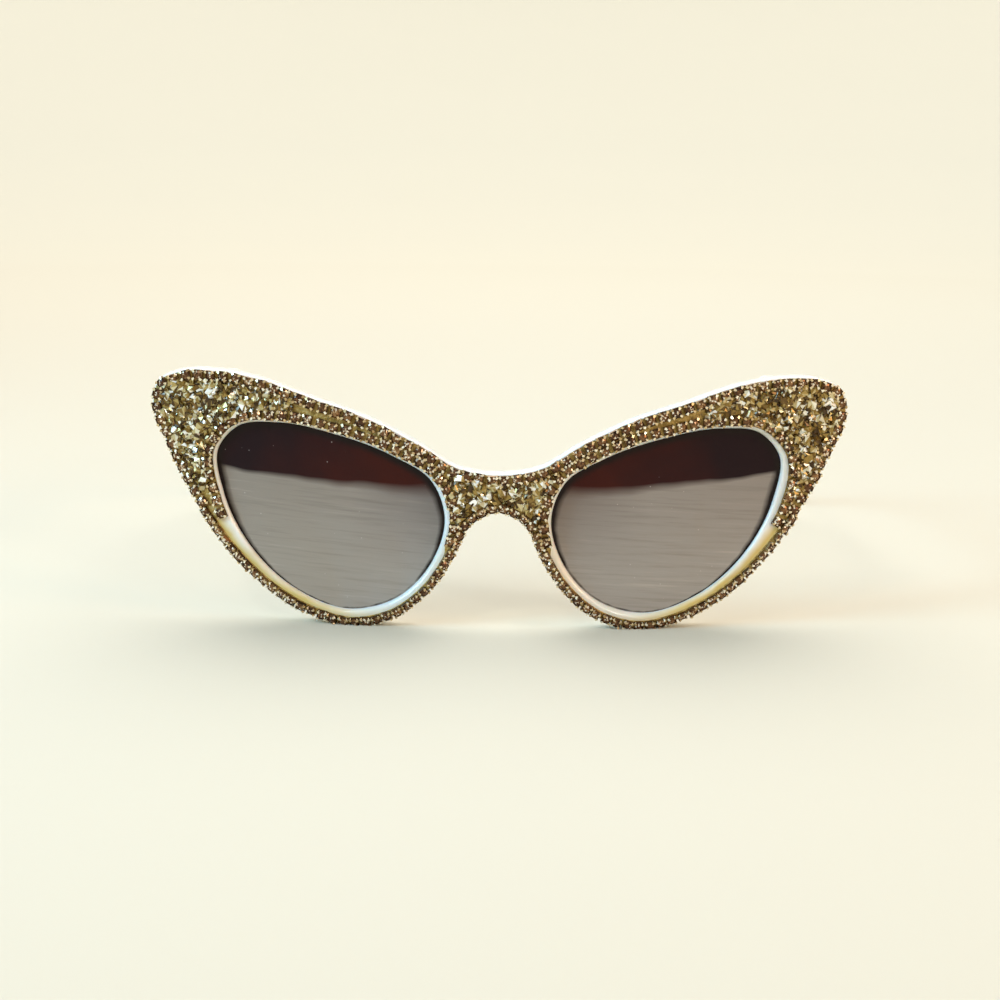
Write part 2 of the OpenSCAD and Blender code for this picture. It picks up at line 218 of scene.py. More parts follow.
# quads between neighbouring rows and columns of a grid, closed round where a wrap is asked
def gridFaces(rows, cols, start=0, wrapRows=False, wrapCols=False):
    i = np.arange(rows if wrapRows else rows - 1)
    j = np.arange(cols if wrapCols else cols - 1)
    i, j = [a.ravel() for a in np.meshgrid(i, j, indexing="ij")]
    i2, j2 = (i + 1) % rows, (j + 1) % cols
    return start + np.stack([i * cols + j, i * cols + j2, i2 * cols + j2, i2 * cols + j], 1)


# an object for a mesh, a lamp or a camera, put in the scene under the same name
def shown(data):
    thing = bpy.data.objects.new(data.name, data)
    bpy.context.scene.collection.objects.link(thing)
    return thing


# a mesh object from millimetre points, held inside the solid model's box; doubles are merged
# before the faces are turned outwards
def makePiece(name, verts, faces, smooth=True, sharpAngle=38, merge=1e-4, recalc=True, held=True):
    mesh = bpy.data.meshes.new(name)
    points = np.asarray(verts) * mm
    if held:
        points = points.clip(np.array(cadBox[0]) + 5e-6, np.array(cadBox[1]) - 5e-6)
        points[:, 2] = np.where(points[:, 2] < 6e-6, 0, points[:, 2])
    mesh.from_pydata(points.tolist(), [], [list(map(int, f)) for f in faces])
    if merge or recalc:
        bm = bmesh.new()
        bm.from_mesh(mesh)
        if merge:
            bmesh.ops.remove_doubles(bm, verts=bm.verts, dist=merge * mm)
        if recalc:
            bmesh.ops.recalc_face_normals(bm, faces=bm.faces)
        bm.to_mesh(mesh)
        bm.free()
    if smooth:
        mesh.shade_smooth()
        mesh.set_sharp_from_angle(angle=radians(sharpAngle))
    return shown(mesh)


# the other side's points: x with its sign changed
def mirroredX(verts):
    return verts * np.array([-1, 1, 1])


# each side's name with its points
def bothSides(verts):
    return ("left", verts), ("right", mirroredX(verts))


# several grids or meshes stacked into one list of points and faces
def joined(parts):
    verts, faces, start = [], [], 0
    for v, f in parts:
        verts.append(v)
        faces.extend((np.asarray(g) + start).tolist() for g in f)
        start += len(v)
    return np.vstack(verts), faces


# rings of equal length carried along a path, closed round, with a flat cap at each end
def loft(rings):
    n, m = rings.shape[:2]
    faces = gridFaces(n, m, wrapCols=True).tolist()
    faces.append(list(range(m))[::-1])
    faces.append(list(range((n - 1) * m, n * m)))
    return rings.reshape(-1, 3), faces


# a rectangle with round corners as a loop in two axes, count points a corner
def roundRect(halfW, halfH, corner, count=6):
    a = np.linspace(0, np.pi / 2, count)
    quarter = np.stack([np.cos(a), np.sin(a)], 1) * corner
    sx, sy = halfW - corner, halfH - corner
    return np.vstack([
        quarter + [sx, sy],
        quarter[:, ::-1] * [-1, 1] + [-sx, sy],
        -quarter + [-sx, -sy],
        quarter[:, ::-1] * [1, -1] + [sx, -sy],
    ])


# an empty material and its shader
def newMaterial(name):
    material = bpy.data.materials.new(name)
    material.use_nodes = True
    return material, material.node_tree.nodes["Principled BSDF"]


# a new node with its settings and the constant values of its sockets
def addNode(material, kind, values=None, **settings):
    node = material.node_tree.nodes.new(kind)
    for key, value in settings.items():
        setattr(node, key, value)
    for key, value in (values or {}).items():
        node.inputs[key].default_value = value
    return node


# one socket feeds another
def link(material, source, target):
    material.node_tree.links.new(source, target)


# Object coordinates, stretched by scale
def objectSpace(material, scale=(1, 1, 1)):
    place = addNode(material, "ShaderNodeTexCoord")
    mapping = addNode(material, "ShaderNodeMapping", {"Scale": scale})
    link(material, place.outputs["Object"], mapping.inputs["Vector"])
    return mapping.outputs["Vector"]


# smooth noise round 0.5, scale cells a metre
def noise(material, vector, scale, detail=3, roughness=0.5):
    node = addNode(material, "ShaderNodeTexNoise",
                   {"Scale": scale, "Detail": detail, "Roughness": roughness})
    link(material, vector, node.inputs["Vector"])
    return node.outputs["Fac"]


# sRGB of 0 to 255 as linear light
def tint(r, g, b):
    c = np.array([r, g, b]) / 255
    return tuple(np.where(c <= 0.04045, c / 12.92, ((c + 0.055) / 1.055) ** 2.4).tolist())


# a value read as a colour, from stops given as (place, (r, g, b)) with straight mixing between
def ramp(material, value, stops):
    node = addNode(material, "ShaderNodeValToRGB")
    bar = node.color_ramp.elements
    while len(bar) < len(stops):
        bar.new(0.5)
    for element, (place, colour) in zip(bar, stops):
        element.position = place
        element.color = (*colour, 1)
    link(material, value, node.inputs["Fac"])
    return node.outputs["Color"]


# the same from stops in sRGB of 0 to 255
def tones(material, value, stops):
    return ramp(material, value, [(place, tint(*colour)) for place, colour in stops])


# a value from fromLow to fromHigh spread over low to high, and held there outside
def remap(material, value, low, high, fromLow=0.0, fromHigh=1.0):
    node = addNode(material, "ShaderNodeMapRange",
                   {"From Min": fromLow, "From Max": fromHigh, "To Min": low, "To Max": high})
    link(material, value, node.inputs["Value"])
    return node.outputs["Result"]


# gloss in patches: noise spread over a range of roughness
def worn(material, shader, vector, scale, detail, low, high):
    patches = noise(material, vector, scale, detail)
    link(material, remap(material, patches, low, high), shader.inputs["Roughness"])


# the surface tilted by the slope of a height
def bump(material, shader, height, strength, distance):
    node = addNode(material, "ShaderNodeBump", {"Strength": strength, "Distance": distance})
    link(material, height, node.inputs["Height"])
    link(material, node.outputs["Normal"], shader.inputs["Normal"])


# constant values set on the shader's own sockets
def setShader(shader, **values):
    names = {"metal": "Metallic", "rough": "Roughness", "specular": "Specular IOR Level",
             "coat": "Coat Weight", "coatRough": "Coat Roughness", "scatter": "Subsurface Weight",
             "scatterScale": "Subsurface Scale"}
    for key, value in values.items():
        shader.inputs[names[key]].default_value = value


# the piece takes one material
def wear(piece, material):
    piece.data.materials.clear()
    piece.data.materials.append(material)
    return piece


# a number for each face or point, read by the materials
def addValues(piece, name, values, domain="FACE"):
    layer = piece.data.attributes.new(name, "FLOAT", domain)
    layer.data.foreach_set("value", np.asarray(values, dtype=np.float32))


# the piece's points in millimetres, with x as a distance from the middle plane
def pointsOf(piece):
    flat = np.empty(len(piece.data.vertices) * 3)
    piece.data.vertices.foreach_get("co", flat)
    points = flat.reshape(-1, 3) / mm
    points[:, 0] = np.abs(points[:, 0])
    return points


# a math node; numbers become constants, sockets are linked
def calc(material, operation, a, b=None):
    node = addNode(material, "ShaderNodeMath", operation=operation)
    for k, v in enumerate((a, b)):
        if isinstance(v, (int, float)):
            node.inputs[k].default_value = v
        elif v is not None:
            link(material, v, node.inputs[k])
    return node.outputs["Value"]


# colour a where factor is 0, colour b where it is 1; colours are sockets or 0 to 255 triples
def blend(material, factor, a, b):
    node = addNode(material, "ShaderNodeMix", data_type="RGBA")
    link(material, factor, node.inputs["Factor"])
    for name, colour in (("A", a), ("B", b)):
        socket = [i for i in node.inputs if i.name == name and i.type == "RGBA"][0]
        if isinstance(colour, tuple):
            socket.default_value = (*tint(*colour), 1)
        else:
            link(material, colour, socket)
    return [o for o in node.outputs if o.type == "RGBA"][0]


# noise centred on 0 and amount wide
def shaken(material, vector, scale, detail, amount):
    centred = calc(material, "SUBTRACT", noise(material, vector, scale, detail), 0.5)
    return calc(material, "MULTIPLY", centred, amount)


# Object coordinates across and up, in metres
def objectParts(material):
    place = addNode(material, "ShaderNodeTexCoord")
    parts = addNode(material, "ShaderNodeSeparateXYZ")
    link(material, place.outputs["Object"], parts.inputs["Vector"])
    return parts.outputs["X"], parts.outputs["Z"]


# a number stored on the piece
def attribute(material, name):
    return addNode(material, "ShaderNodeAttribute", attribute_name=name).outputs["Fac"]


# plastic clouded between a cool and a warm tone, with gloss in patches and a fine grain; over adds
# to the colour. "cloud" is a scale, a detail and how far the two tones lie from the middle; "worn"
# is the patches' scale, detail, least and most roughness
def cloudedPlastic(name, look, over=None):
    material, shader = newMaterial(name)
    space = objectSpace(material)
    scale, detail, half = look["cloud"]
    stops = [(0.5 - half, look["cool"]), (0.5 + half, look["warm"])]
    colour = tones(material, noise(material, space, scale, detail), stops)
    if over:
        colour = over(material, space, colour)
    link(material, colour, shader.inputs["Base Color"])
    worn(material, shader, space, *look["worn"])
    if "grain" in look:
        bump(material, shader, noise(material, space, look["grain"], 3), 0.06, 0.0002)
    setShader(shader, specular=0.5, scatterScale=0.002, **look["finish"])
    return material


# the colour of each stored value, a tone with painted glints and facet light, with one finish all
# over
def shadedMaterial(name, look):
    material, shader = newMaterial(name)
    colour = tones(material, attribute(material, "toneAndPaintedGlint"), look["stops"])
    link(material, colour, shader.inputs["Base Color"])
    if "worn" in look:
        worn(material, shader, objectSpace(material), *look["worn"])
    setShader(shader, **look["finish"])
    return material


plastic = {
    "cool": (216, 224, 229), "warm": (233, 227, 216), "cloud": (28, 4, 0.15),
    "worn": (260, 5, 0.14, 0.3), "grain": 900,
    "finish": {"coat": 0.35, "coatRough": 0.08, "scatter": 0.12},
    # a yellow tint on the rims next to the chain: where it fades out, in mm from the
    # edge, and how ragged that line is
    "yellowTint": (204, 178, 96), "yellowFrom": 4.0, "yellowTo": 2.2, "yellowShare": 0.95, "ragged": 1.8,
    # the yellow tint's reach in metres: from the middle plane outwards, and up
    "yellowAcross": (0.022, 0.042), "yellowUp": (0.024, 0.03),
}


# the plastic's colour turned yellow on the outer lower lips next to the chain
def yellowedLips(material, space, colour):
    x, z = objectParts(material)
    shake = shaken(material, space, 160, 4, plastic["ragged"])
    ragged = calc(material, "ADD", attribute(material, "fromEdge"), shake)
    nearEdge = remap(material, ragged, 0, 1, plastic["yellowFrom"], plastic["yellowTo"])
    outer = remap(material, calc(material, "ABSOLUTE", x), 0.2, 1, *plastic["yellowAcross"])
    below = remap(material, z, plastic["yellowShare"], 0, *plastic["yellowUp"])
    share = calc(material, "MULTIPLY", calc(material, "MULTIPLY", nearEdge, outer), below)
    return blend(material, share, colour, plastic["yellowTint"])


# closed loop of columns: the half outline moved in by d, then the middle plane back up to its start
def columns(d, bridgeSteps=8):
    edge = fromOutline(d)
    up = np.linspace(edge[-1], edge[0], bridgeSteps + 1)[1:-1]
    return np.vstack([edge, up])


# a rounded edge as a quarter circle, as insets and depths
def quarterTurn(radius, count=6):
    a = np.linspace(0, np.pi / 2, count)
    return radius * (1 - np.sin(a)), radius * (1 - np.cos(a))


# half of the front: a loop round the eye and the bridge's middle carried over the face, through the
# aperture and its groove and across the back, and a second strip round the outer edge
def frontHalf():
    f = front
    base = columns(f["outerRound"])

    # the aperture moved e into the plastic, one point for each column
    def eyeLoop(e):
        return facing(fromAperture(e), base)

    sheet = np.linspace(0, 1, f["faceSteps"])
    groove = f["groove"] + f["grooveSlip"]
    lensFront = f["lensRecess"] - f["grooveSlip"]
    lensBack = f["lensRecess"] + f["lensThickness"] + f["grooveSlip"]
    # loops with their depths, from the face's edge to the back's
    rows = [(base + (eyeLoop(f["eyeRound"]) - base) * s, 0) for s in sheet]
    rows += [(eyeLoop(e), t) for e, t in zip(*quarterTurn(f["eyeRound"]))][1:]
    rows += [(eyeLoop(0), lensFront), (eyeLoop(groove), lensFront)]
    rows += [(eyeLoop(groove), lensBack), (eyeLoop(0), lensBack)]
    backTurn = list(zip(*quarterTurn(f["backRound"])))[::-1]
    rows += [(eyeLoop(e), f["thickness"] - t) for e, t in backTurn]
    eyeBack, backEdge = eyeLoop(f["backRound"]), columns(f["backRound"])
    rows += [(eyeBack + (backEdge - eyeBack) * s, f["thickness"]) for s in sheet[1:]]
    inner = np.stack([onWrap(loop, t) for loop, t in rows])
    turnFront = list(zip(*quarterTurn(f["outerRound"])))
    edgeRows = [(fromOutline(d), t) for d, t in turnFront]
    edgeRows += [(fromOutline(0), f["thickness"] / 2)]
    edgeRows += [(fromOutline(d), f["thickness"] - t) for d, t in backTurn]
    outer = np.stack([onWrap(loop, t) for loop, t in edgeRows])
    return joined([
        (inner.reshape(-1, 3), gridFaces(*inner.shape[:2], wrapCols=True)),
        (outer.reshape(-1, 3), gridFaces(*outer.shape[:2])),
    ])


hinge = {
    "axis": np.array(frame["joints"][0]["pos_m"]) / mm,
    "seatDepth": 4.0,           # the flat behind the wing lies this far in front of the axis
    "seatInner": 5.1,           # and reaches this far inwards of it
    "halfHigh": 4.5, "blockStart": 10.5,        # the blocks begin inside the wing
    "seatLap": 0.4, "endLap": 0.1,              # how far they lap over or clear the temple's sides
    "blockRound": 0.5,
}


# a block with round corners between two corners, its back edge rounded too
def softBlock(low, high, r):
    low, high = np.array(low), np.array(high)
    mid, half = (low + high) / 2, (high - low) / 2
    insets, depths = quarterTurn(r, 5)
    stops = [(low[1], 0)] + [(high[1] - t, r - i) for i, t in zip(insets, depths)][::-1]
    rings = []
    for y, cut in stops:
        less = r - cut if y > low[1] else 0
        loop = roundRect(half[0] - less, half[2] - less, r)
        rings.append(np.stack([loop[:, 0] + mid[0], np.full(len(loop), y), loop[:, 1] + mid[2]], 1))
    return loft(np.array(rings))


# both halves with the hinge seats and end pieces behind the wings
def buildFront():
    half = frontHalf()
    templeLow, templeHigh = [np.array(v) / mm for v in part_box("temple_left")]
    x, y, z = hinge["axis"]
    zLow, zHigh = z - hinge["halfHigh"], z + hinge["halfHigh"]
    startY = frontY + hinge["blockStart"]
    seatHigh = (templeLow[0] + hinge["seatLap"], y - hinge["seatDepth"], zHigh)
    seat = softBlock((x - hinge["seatInner"], startY, zLow), seatHigh, hinge["blockRound"])
    endHigh = (templeHigh[0] + hinge["endLap"], y, zHigh)
    endLow = (templeLow[0] + hinge["endLap"], startY, zLow)
    endPiece = softBlock(endLow, endHigh, hinge["blockRound"])
    both = [half, (mirroredX(half[0]), half[1])]
    for v, f in (seat, endPiece):
        both += [(v, f), (mirroredX(v), f)]
    verts, faces = joined(both)
    verts[:, 2] = np.maximum(verts[:, 2], 0)        # the rims' flats
    piece = makePiece("frontPlastic", verts, faces)
    spots = pointsOf(piece)
    depth = front["wrapRadius"] - np.hypot(spots[:, 0], spots[:, 1] - wrapY)
    # only the face can turn yellow; the rest counts as far from the edge
    fromEdge = np.where(depth < 1, clearance(spots[:, [0, 2]], halfOutline), 9)
    addValues(piece, "fromEdge", fromEdge, "POINT")
    wear(piece, cloudedPlastic("pearlPlastic", plastic, yellowedLips))
    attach(piece, "front")
    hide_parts("front_frame")
    print("front frame done:", len(piece.data.polygons), "faces")


buildFront()

lensLook = {
    "dusk": (30, 15, 19), "wine": (56, 18, 13),             # upper part, outer end and by the nose
    "cool": (152, 142, 131), "warm": (153, 147, 141),       # lower part
    # where the upper colour ends, in metres: its height at "start" from the middle plane, its bend
    # outwards, its waves, and how soft it is by the nose and at the outer end
    "start": 0.012, "horizon": 0.0298, "bend": 1.5, "wave": 0.003,
    "softNose": 0.0016, "softOuter": 0.0005, "softAcross": (0, 0.04), "duskAcross": (0.008, 0.042),
    # the lower part turns warmer from one lens to the other: a painted reflection of the cool side
    # lamp on the lens nearer it
    "lampTintShift": (-0.45, 0.3), "shiftAcross": (-0.055, -0.015),
    # painted reflection of a pale surface: dark and pale streaks laid over the lower part
    "reflectionDark": (104, 92, 84), "reflectionPale": (204, 190, 180), "reflectionReach": 0.38,
    "streakAcross": 45, "streakUp": 1100, "slant": 0.07,    # the painted reflection streaks' grain and their lean
    "haze": (74, 56, 52), "hazeNose": 0.75, "hazeOuter": 0.25,
    "hazeAcross": (-0.004, 0.02), "hazeUp": (0.011, 0.03),
    "dust": (222, 212, 206), "dustShare": 0.4, "dustScale": 420,
    "edge": (30, 20, 18), "edgeLow": 0.45, "edgeHigh": 1.9,     # painted shadow of the groove: a dark band round the edge, in mm
    "edgeUp": (0.008, 0.027), "edgeRagged": 0.8, "edgeSolid": 0.35, "edgeFade": 0.65,
}


# dusk above and grey below a soft wavy line, with brown haze by the nose, painted reflection
# streaks, a few specks of dust and a painted shadow band round the edge where the lens sits in the
# groove
def lensMaterial():
    material, shader = newMaterial("gradientLens")
    look = lensLook
    space = objectSpace(material)
    x, z = objectParts(material)
    side = calc(material, "SUBTRACT", calc(material, "ABSOLUTE", x), look["start"])
    rise = calc(material, "MULTIPLY", calc(material, "MULTIPLY", side, side), look["bend"])
    line = calc(material, "ADD", rise, look["horizon"])
    above = calc(material, "ADD", calc(material, "SUBTRACT", z, line),
                 shaken(material, space, 60, 2, look["wave"]))
    soft = remap(material, side, look["softNose"], look["softOuter"], *look["softAcross"])
    step = remap(material, calc(material, "DIVIDE", above, soft), 0, 1, -1, 1)

    # painted reflection of the cool side lamp: the lower tone shifts across the lens nearer that
    # lamp
    patch = calc(material, "ADD", remap(material, x, *look["lampTintShift"], *look["shiftAcross"]),
                 noise(material, objectSpace(material, (1, 1, 0.6)), 55, 2))
    low = tones(material, patch, [(0.3, look["cool"]), (0.7, look["warm"])])
    # painted reflection: slanted fine streaks, dark and pale, blended over the lower part
    slanted = calc(material, "ADD", z, calc(material, "MULTIPLY", x, look["slant"]))
    combed = addNode(material, "ShaderNodeCombineXYZ")
    link(material, calc(material, "MULTIPLY", x, look["streakAcross"]), combed.inputs["X"])
    link(material, calc(material, "MULTIPLY", slanted, look["streakUp"]), combed.inputs["Z"])
    reflectionStreaks = noise(material, combed.outputs["Vector"], 1.0, 5, 0.65)
    for colour, least, most in (("reflectionDark", 0.5, 0.25), ("reflectionPale", 0.58, 0.8)):
        share = remap(material, reflectionStreaks, 0, look["reflectionReach"], least, most)
        low = blend(material, share, low, look[colour])
    haze = remap(material, side, look["hazeNose"], look["hazeOuter"], *look["hazeAcross"])
    haze = calc(material, "MULTIPLY", haze, remap(material, z, 0, 1, *look["hazeUp"]))
    low = blend(material, haze, low, look["haze"])

    inward = calc(material, "ADD", remap(material, side, 1, 0, *look["duskAcross"]),
                  shaken(material, space, 70, 2, 1))
    high = tones(material, inward, [(0.1, look["dusk"]), (0.9, look["wine"])])
    whole = blend(material, step, low, high)
    dust = addNode(material, "ShaderNodeTexVoronoi", {"Scale": look["dustScale"]})
    link(material, space, dust.inputs["Vector"])
    chosen = remap(material, noise(material, space, 260, 1), 0, 1, 0.5, 0.56)
    speck = remap(material, dust.outputs["Distance"], look["dustShare"], 0, 0.02, 0.07)
    whole = blend(material, calc(material, "MULTIPLY", chosen, speck), whole, look["dust"])

    # painted shadow where the lens sits in the groove: a ragged dark band round the edge, wider
    # higher up
    wide = remap(material, z, look["edgeLow"], look["edgeHigh"], *look["edgeUp"])
    shake = shaken(material, space, 300, 4, look["edgeRagged"])
    ragged = calc(material, "ADD", attribute(material, "fromEdge"), shake)
    solid = calc(material, "MULTIPLY", wide, look["edgeSolid"])
    within = calc(material, "DIVIDE", calc(material, "SUBTRACT", ragged, solid), wide)
    middle = remap(material, within, 0, 1, 0, look["edgeFade"])
    link(material, blend(material, middle, look["edge"], whole), shader.inputs["Base Color"])
    setShader(shader, rough=0.05, specular=0.12)
    return material


# rings from the middle out to the edge in the groove, front face then back face
def lensSurface():
    f = front
    edge = fromAperture(f["groove"])
    disc = eyeCentre + (edge - eyeCentre) * np.linspace(0, 1, f["lensSteps"])[:, None, None]
    backSide = onWrap(disc, f["lensRecess"] + f["lensThickness"])[::-1]
    grid = np.concatenate([onWrap(disc, f["lensRecess"]), backSide])
    return grid.reshape(-1, 3), gridFaces(*grid.shape[:2], wrapCols=True)


# one lens a side, with its distance from the aperture stored for the painted groove shadow band
def buildLenses():
    material = lensMaterial()
    verts, faces = lensSurface()
    for side, points in bothSides(verts):
        piece = makePiece("lensPane" + side.capitalize(), points, faces)
        addValues(piece, "fromEdge", clearance(pointsOf(piece)[:, [0, 2]], aperture), "POINT")
        wear(piece, material)
        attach(piece, "front")
        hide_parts("lens_" + side)
    print("lenses done")


buildLenses()

# where hand work left the lips beside the lenses wider than elsewhere
lips = {
    "left": {"spot": (60, 30), "reach": (9, 10), "extra": 1.15},
    "right": {"spot": (12, 25), "reach": (7, 8), "extra": 0.45},
}

glue = {
    "outer": 0.35,              # gap to the front's edge
    "inner": 0.7,               # gap to the aperture
    "strip": 1.8,               # width beside the rims, where only one chain runs
    "thin": 0.08, "thick": 0.2, "rim": 0.02,    # heights over the face, inside and at its border
    "sunk": 0.01,               # how far its back lies in the plastic
    "steps": 13, "bareFrom": 40,                # the bare stretch begins outside this x
    # the rims' corner points; inside this line only the outer strip carries glue
    "bare": [(0, -5), (0, 16.5), (12, 16.5), (13, 17.5), (56, 21.9), (80, 21.9), (80, -5)],
    "dark": (104, 76, 32), "olive": (150, 122, 54), "gold": (182, 152, 80), "grey": (184, 172, 132),
}


bareBorder = np.array(glue["bare"]) * stretch


# True for points inside a closed border: an odd count of its sides lies beyond them
def inside(points, border):
    a, b = border, np.roll(border, -1, 0)
    x, z = points[..., 0, None], points[..., 1, None]
    crosses = (a[:, 1] > z) != (b[:, 1] > z)
    slope = (b[:, 0] - a[:, 0]) / np.where(b[:, 1] == a[:, 1], 1e-9, b[:, 1] - a[:, 1])
    return (crosses & (x < a[:, 0] + slope * (z - a[:, 1]))).sum(-1) % 2 == 1


# dried glue: olive to gold with a fine rough surface
def glueMaterial():
    material, shader = newMaterial("goldGlue")
    space = objectSpace(material)
    colour = tones(material, noise(material, space, 900, 5, 0.65), [
        (0.3, glue["dark"]), (0.45, glue["olive"]), (0.58, glue["gold"]), (0.75, glue["grey"])])
    link(material, colour, shader.inputs["Base Color"])
    bump(material, shader, noise(material, space, 1400, 4, 0.7), 0.7, 0.0004)
    setShader(shader, rough=0.24, specular=0.6, metal=0.25)
    return material


# a lumpy skin on the front face, one ring of columns round the eye and the bridge's middle
def glueSurface(lip):
    edge = columns(glue["outer"])
    last = len(fromOutline(0))
    narrow = edge.copy()
    narrow[:last] = fromOutline(glue["strip"])
    wide = facing(fromAperture(glue["inner"] + lipAt(aperture, lip)), edge)
    bare = inside(edge, bareBorder) | inside(wide, bareBorder)
    bare[: np.argmax(edge[:, 0] > glue["bareFrom"])] = False
    bare[last:] = False
    share = np.pad(bare.astype(float), 1, mode="wrap")
    share = np.convolve(share, np.ones(3) / 3, mode="valid")[:, None]
    inner = wide * (1 - share) + narrow * share
    grid = edge + (inner - edge) * np.linspace(0, 1, glue["steps"])[:, None, None]
    grid[..., 0] = np.maximum(grid[..., 0], 0)
    height = rng.uniform(glue["thin"], glue["thick"], grid.shape[:2])
    height[[0, -1]] = glue["rim"]
    skin = np.concatenate([onWrap(grid, -height), onWrap(grid, glue["sunk"])[::-1]])
    return skin.reshape(-1, 3), gridFaces(*skin.shape[:2], wrapRows=True, wrapCols=True)


# one skin a side, each with its own lip beside the lens
def buildGlue():
    material = glueMaterial()
    for side, flip in (("left", 1), ("right", -1)):
        verts, faces = glueSurface(lips[side])
        piece = makePiece("glueSkin" + side.capitalize(), verts * [flip, 1, 1], faces)
        wear(piece, material)
        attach(piece, "front")
        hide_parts("glue_bed_" + side)
    print("glue done")


buildGlue()

chain = {
    "browInset": 1.3, "rimInset": 0.88, "eyeInset": 1.7,
    "browPitch": 2.8, "rimPitch": 2.4, "eyePitch": 2.8,
    "browCups": 38, "eyeStart": 30.0, "eyeLast": (61, 22.8),
    "rimGap": 2.3,              # from the last brow cup to the first rim cup, along the edge
    "browGap": 1.3,             # from the bridge's middle to the first cup
    "cup": 2.2, "rimCup": 2.05, "cupHeight": 1.05,
    "lift": 0.02,
    "rimLean": radians(26), "rimSink": 0.12,     # the rims' chain is turned outwards over the edge
    "turn": radians(4), "tilt": radians(6), "grow": 0.05,
}


# one stone of unit width, girdle at height 0: two rows of eight kites, a star, a fan table and a
# point below
def stoneShape():
    turn = np.arange(8) * np.pi / 4
    rows = []
    # half width, height, turn in parts of a corner, how square
    rings = ((0.5, 0, 0.5, 0.6), (0.44, 0.2, 0, 0.4), (0.24, 0.31, 0.5, 0))
    for half, height, offset, square in rings:
        a = turn + offset * np.pi / 4
        ring = np.stack([np.cos(a), np.sin(a)], 1)
        ring = ring * (1 - square) + ring / np.abs(ring).max(1, keepdims=True) * square
        rows.append(np.column_stack([ring * half, np.full(8, height)]))
    verts = np.vstack(rows + [[[0, 0, 0.335], [0, 0, -0.25]]])
    k, n, b = np.arange(8), (np.arange(8) + 1) % 8, (np.arange(8) - 1) % 8
    faces = np.concatenate([
        np.stack([k, n, 8 + n], 1), np.stack([k, 8 + n, 8 + k], 1),
        np.stack([8 + k, 8 + n, 16 + k], 1), np.stack([8 + k, 16 + k, 16 + b], 1),
        np.stack([16 + k, 16 + n, 0 * k + 24], 1), np.stack([n, k, 0 * k + 25], 1),
    ])
    return verts, faces.tolist()


# one cup of unit width standing on height 0: floor, thin walls and four prongs bent over the stone
def cupShape():
    out, inn, top = 0.5, 0.43, 0.36
    sq = np.array([[1, 1], [-1, 1], [-1, -1], [1, -1]], float)
    rows = [
        (sq * out * 0.86, 0.0), (sq * out, 0.1), (sq * out, top), (sq * inn, top), (sq * inn, 0.12),
    ]
    verts = [np.column_stack([r, np.full(4, h)]) for r, h in rows]
    faces = [[3, 2, 1, 0]] + gridFaces(5, 4, wrapCols=True).tolist() + [[16, 17, 18, 19]]
    start = 20
    for cx, cy in sq:
        along = np.array([cx, cy, 0.0])
        side = np.array([-cy, cx, 0.0]) / np.sqrt(2)
        foot = along * 0.4 + [0, 0, 0.3]
        mid = along * 0.4 + [0, 0, 0.47]
        tip = along * 0.27 + [0, 0, 0.53]
        wide = 0.14
        prong = []
        for p, w, push in ((foot, wide, 0.05), (mid, wide * 0.9, 0.06), (tip, wide * 0.6, 0.0)):
            lift = np.array([0, 0, 0.05]) + along * push
            prong += [p - side * w, p + side * w, p + side * w + lift, p - side * w + lift]
        verts.append(np.array(prong))
        faces += gridFaces(3, 4, start, wrapCols=True).tolist()
        faces.append([start + 3, start + 2, start + 1, start])
        faces.append([start + 8, start + 9, start + 10, start + 11])
        start += 12
    return np.vstack(verts), faces


# copies of one shape; frames hold the three directions, places the origins, sizes the widths
def scattered(shape, places, frames, sizes):
    verts, faces = shape
    moved = np.einsum("nij,vj->nvi", frames, verts) * sizes[:, None, None] + places[:, None, :]
    count = len(places)
    loops = [(np.array([f for f in faces if len(f) == k])[None] +
              (np.arange(count) * len(verts))[:, None, None]).reshape(-1, k).tolist()
             for k in sorted({len(f) for f in faces})]
    return moved.reshape(-1, 3), [f for group in loops for f in group]


# directions at points (x, z) on the wrap for cups that run along a slope: along, across, outwards;
# across points to the right of the slope, and lean turns the outward direction towards it
def seatFrames(x, slope, lean=0.0):
    share = x / front["wrapRadius"]
    outward = np.stack([share, -np.sqrt(1 - share**2), 0 * x], 1)
    level = np.stack([-outward[:, 1], outward[:, 0], 0 * x], 1)
    up = np.tile([0.0, 0.0, 1.0], (len(x), 1))
    along = level * slope[:, :1] + up * slope[:, 1:]
    across = np.cross(outward, along)
    tipped = outward * np.cos(lean) + across * np.sin(lean)
    return np.stack([along, np.cross(tipped, along), tipped], 2)


# turns about one axis (0 for x, 1 for y, 2 for z), one matrix an angle
def turnsAbout(axis, angles):
    i, j = (axis + 1) % 3, (axis + 2) % 3
    turns = np.tile(np.eye(3), (len(angles), 1, 1))
    turns[:, i, i] = turns[:, j, j] = np.cos(angles)
    turns[:, j, i] = np.sin(angles)
    turns[:, i, j] = -np.sin(angles)
    return turns


# small random turns about x, then y, then z, one matrix an item
def jitter(count, turn, tilt):
    a = rng.normal(0, 1, (count, 3)) * [tilt, tilt, turn]
    return turnsAbout(2, a[:, 2]) @ turnsAbout(1, a[:, 1]) @ turnsAbout(0, a[:, 0])


